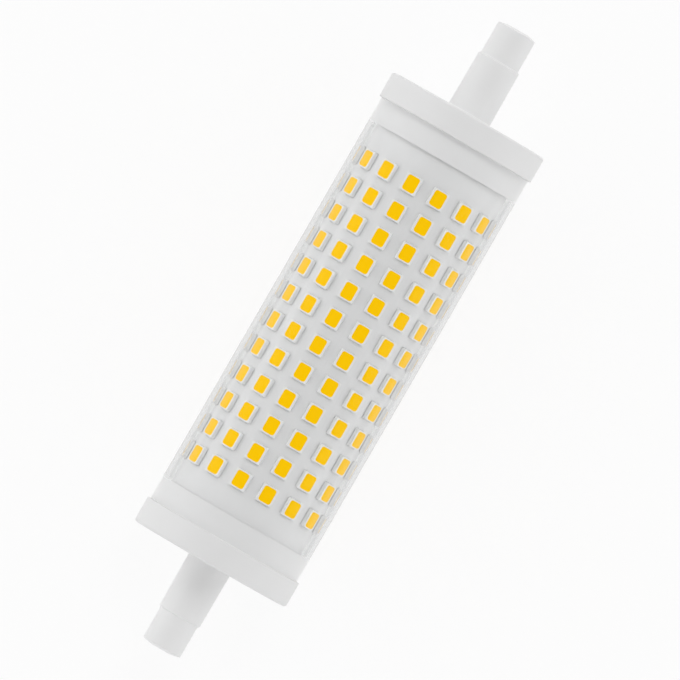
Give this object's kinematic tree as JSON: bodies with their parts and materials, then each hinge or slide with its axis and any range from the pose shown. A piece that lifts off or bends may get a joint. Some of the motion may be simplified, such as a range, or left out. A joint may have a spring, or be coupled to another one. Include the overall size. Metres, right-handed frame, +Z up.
{
  "type": "linear led bulb",
  "caption": "Linear LED bulb: a clear tube over rings of yellow light sources on a white core, with a white cap and a recessed contact stem at each end.",
  "frame": {"origin": "centre of the bulb on its axis, midway between the two contact faces", "axes": "+X along the bulb to its right end, +Z up, square to the driver board inside and away from the seam of the wrapped board"},
  "size_m": [0.118, 0.0288, 0.0288],
  "materials": {
    "clear_plastic": "clear, polished",
    "white_plastic": "moulded, satin",
    "contact_metal": "nickel plated",
    "aluminium": "drawn tube",
    "white_board": "white solder mask, satin",
    "led_housing": "moulded, fine",
    "phosphor": "silicone, smooth",
    "liner_plastic": "natural, satin",
    "green_board": "green solder mask",
    "varistor_blue": "dipped coating",
    "resistor_green": "cement coating",
    "film_yellow": "moulded case",
    "ferrite": "sintered",
    "copper": "enamelled wire",
    "can_metal": "drawn can",
    "black_plastic": "moulded",
    "chip_ceramic": "ceramic",
    "white_lead": "extruded insulation",
    "red_lead": "extruded insulation",
    "black_lead": "extruded insulation"
  },
  "bodies": {
    "root": {"clear_cover": "clear_plastic", "end_cap_left": "white_plastic", "end_cap_right": "white_plastic", "contact_button_left": "contact_metal", "contact_button_right": "contact_metal", "core_tube": "aluminium", "led_board": "white_board", "insulating_liner": "liner_plastic", "driver_board": "green_board", "surge_varistor": "varistor_blue", "fusible_resistor": "resistor_green", "film_capacitor": "film_yellow", "choke_core": "ferrite", "choke_winding": "copper", "bulk_capacitor": "can_metal", "output_capacitor": "can_metal", "inductor_core": "ferrite", "inductor_bobbin": "black_plastic", "inductor_winding": "copper", "bridge_rectifier": "black_plastic", "control_chip": "black_plastic", "freewheel_diode": "black_plastic", "chip_parts": "chip_ceramic", "mains_lead_left": "white_lead", "mains_lead_right": "white_lead", "led_lead_plus": "red_lead", "led_lead_minus": "black_lead", "led_ring_01": "led_housing", "led_ring_02": "led_housing", "led_ring_03": "led_housing", "led_ring_04": "led_housing", "led_ring_05": "led_housing", "led_ring_06": "led_housing", "led_ring_07": "led_housing", "led_ring_08": "led_housing", "led_ring_09": "led_housing", "led_ring_10": "led_housing", "led_ring_11": "led_housing", "led_ring_12": "led_housing", "phosphor_ring_01": "phosphor", "phosphor_ring_02": "phosphor", "phosphor_ring_03": "phosphor", "phosphor_ring_04": "phosphor", "phosphor_ring_05": "phosphor", "phosphor_ring_06": "phosphor", "phosphor_ring_07": "phosphor", "phosphor_ring_08": "phosphor", "phosphor_ring_09": "phosphor", "phosphor_ring_10": "phosphor", "phosphor_ring_11": "phosphor", "phosphor_ring_12": "phosphor"}
  },
  "joints": []
}
